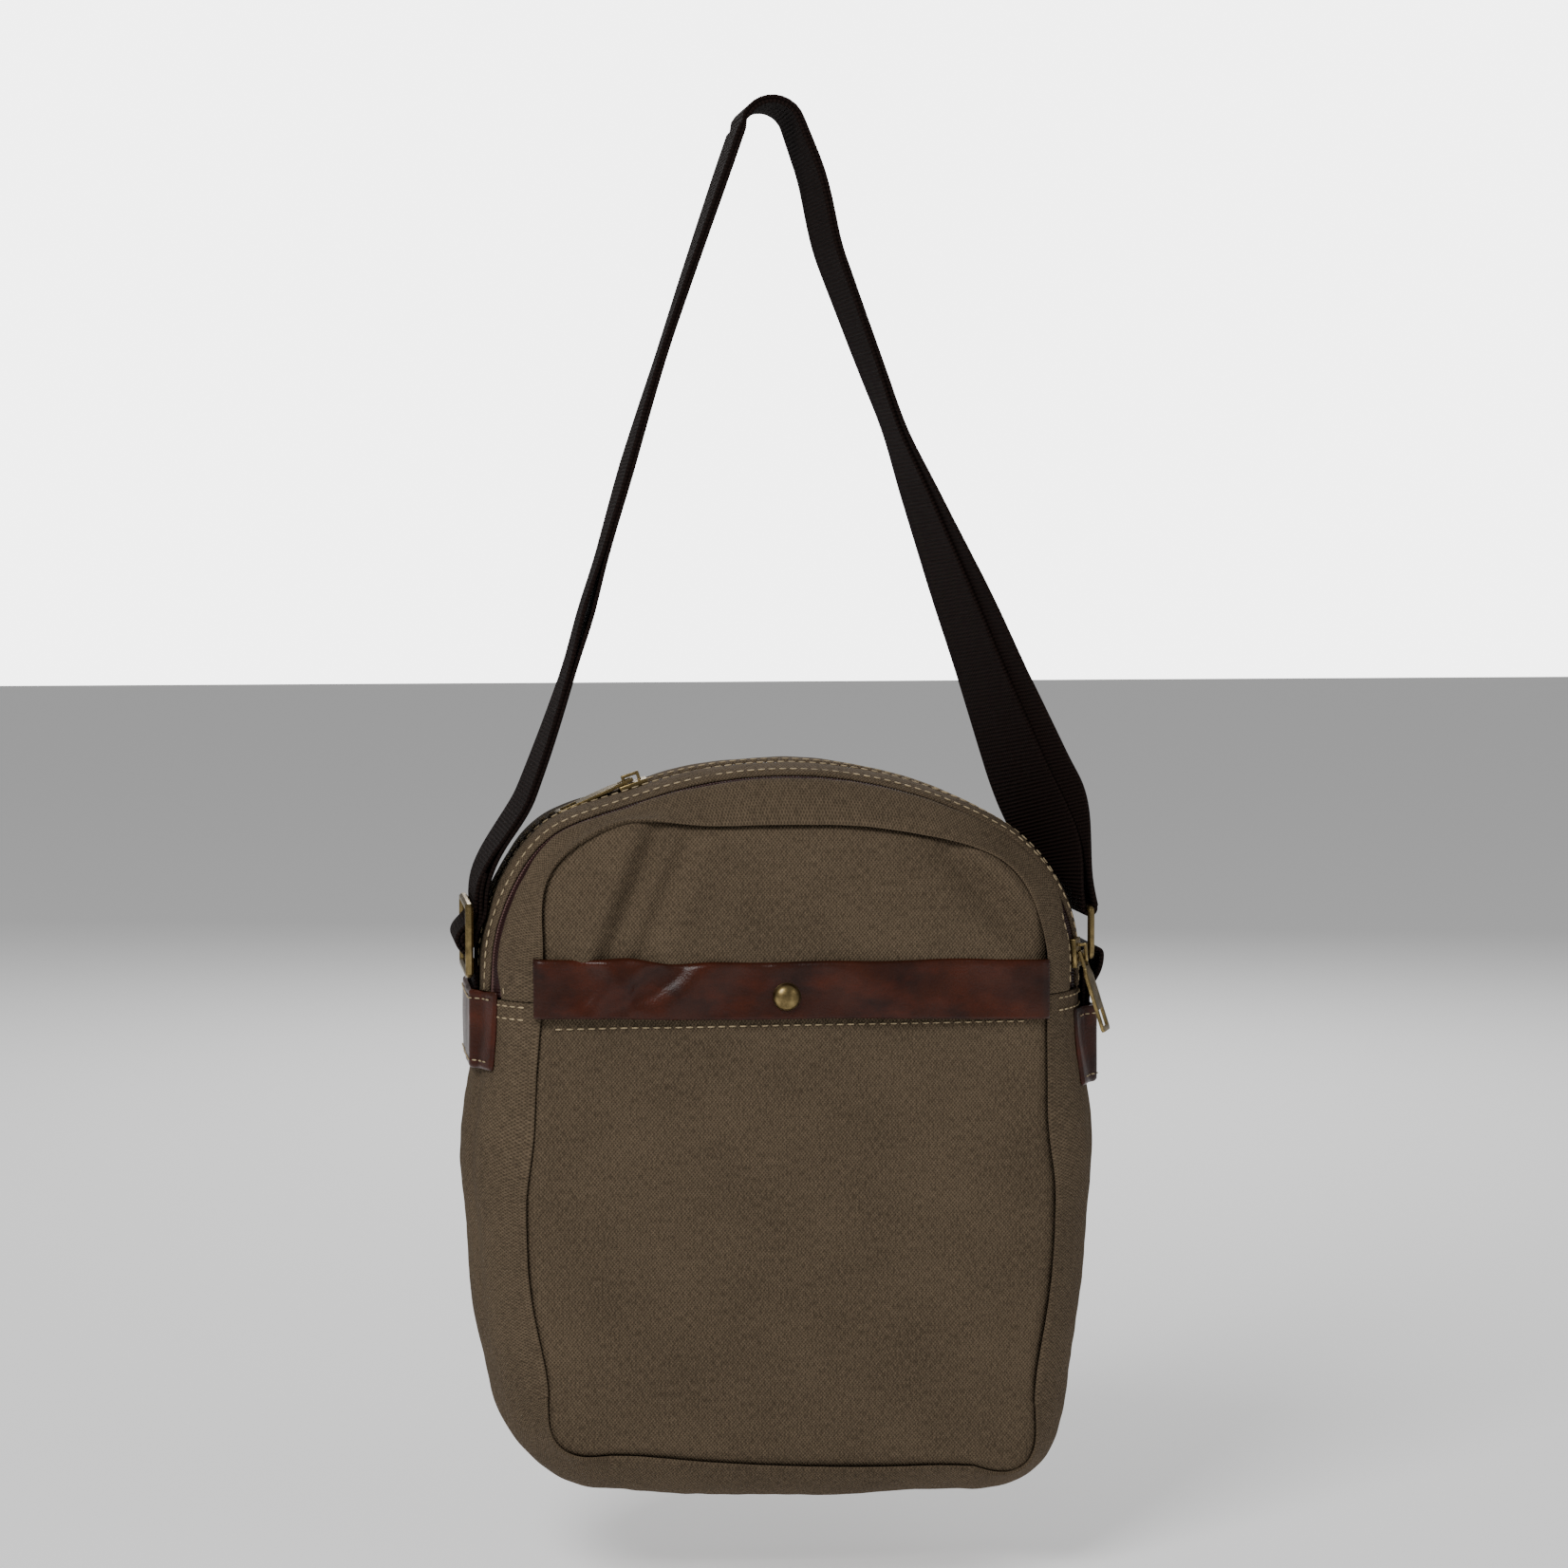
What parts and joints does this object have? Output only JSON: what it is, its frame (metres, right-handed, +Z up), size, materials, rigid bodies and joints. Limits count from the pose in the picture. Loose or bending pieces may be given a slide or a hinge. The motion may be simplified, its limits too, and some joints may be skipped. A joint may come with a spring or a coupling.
{
  "type": "messenger bag",
  "caption": "Canvas messenger bag with leather trim, three zips, a snap front pocket and a doubled adjustable webbing strap, hanging by the strap.",
  "frame": {"origin": "underside of the doubled strap where it lies over a hook, middle of the webbing", "axes": "+Z up, -Y towards the front of the bag, +X to the right seen from the front, the side with the ring"},
  "size_m": [0.2472, 0.0899, 0.5257],
  "materials": {
    "canvas": "washed cotton canvas",
    "lining": "plain lining",
    "leather": "smooth glazed",
    "webbing": "ribbed webbing",
    "zip_tape": "woven tape",
    "zip_coil": "nylon coil",
    "brass": "antique"
  },
  "bodies": {
    "strap": {"strap_webbing": "webbing", "right_webbing_loop": "webbing", "strap_slider": "brass"},
    "ring": {"strap_ring": "brass"},
    "bag": {"left_leather_tab": "leather", "right_leather_tab": "leather", "lower_gusset": "canvas", "front_gusset_band": "canvas", "middle_gusset_band": "canvas", "rear_gusset_band": "canvas", "front_panel": "canvas", "front_pocket_panel": "canvas", "back_panel_upper": "canvas", "back_panel_lower": "canvas", "divider_panel": "lining", "back_pocket_lining": "lining", "pocket_leather_band": "leather", "snap_cap": "brass", "snap_socket": "brass", "snap_stud": "brass", "snap_post": "brass", "front_zip_front_tape": "zip_tape", "front_zip_rear_tape": "zip_tape", "front_zip_coil": "zip_coil", "main_zip_front_tape": "zip_tape", "main_zip_rear_tape": "zip_tape", "main_zip_coil": "zip_coil", "back_zip_upper_tape": "zip_tape", "back_zip_lower_tape": "zip_tape", "back_zip_coil": "zip_coil"},
    "front_slider": {"front_zip_slider": "brass"},
    "front_puller": {"front_zip_puller": "brass"},
    "main_slider": {"main_zip_slider": "brass"},
    "main_puller": {"main_zip_puller": "brass"},
    "back_slider": {"back_zip_slider": "brass"},
    "back_puller": {"back_zip_puller": "brass"}
  },
  "joints": [
    {"name": "bag_swing", "type": "hinge", "parent": "strap", "child": "bag", "pos_m": [0.004, 0, -0.3415], "axis": [1, 0, 0], "range_deg": [-7.5, 7.5]},
    {"name": "ring_tilt", "type": "hinge", "parent": "strap", "child": "ring", "pos_m": [0.12145, 0, -0.3005], "axis": [0, -1, 0], "range_deg": [0, 8]},
    {"name": "front_zip_travel", "type": "hinge", "parent": "bag", "child": "front_slider", "pos_m": [0.056, -0.029, -0.32], "axis": [0, -1, 0], "range_deg": [0, 48]},
    {"name": "front_puller_flap", "type": "hinge", "parent": "front_slider", "child": "front_puller", "pos_m": [0.1158, -0.03019, -0.31582], "axis": [-0.4314, -0.9017, -0.0302], "range_deg": [-8, 135]},
    {"name": "main_zip_travel", "type": "hinge", "parent": "bag", "child": "main_slider", "pos_m": [0.00347, -0.0065, -0.41154], "axis": [0, 1, 0], "range_deg": [0, 36]},
    {"name": "main_puller_flap", "type": "hinge", "parent": "main_slider", "child": "main_puller", "pos_m": [-0.05199, -0.00657, -0.25048], "axis": [-0.0079, 0.9997, 0.0228], "range_deg": [0, 145]},
    {"name": "back_zip_travel", "type": "slide", "parent": "bag", "child": "back_slider", "axis": [-1, 0, 0], "range_m": [0, 0.187]},
    {"name": "back_puller_flap", "type": "hinge", "parent": "back_slider", "child": "back_puller", "pos_m": [0.0975, 0.0327, -0.317], "axis": [0, 0, 1], "range_deg": [-6, 150]}
  ]
}
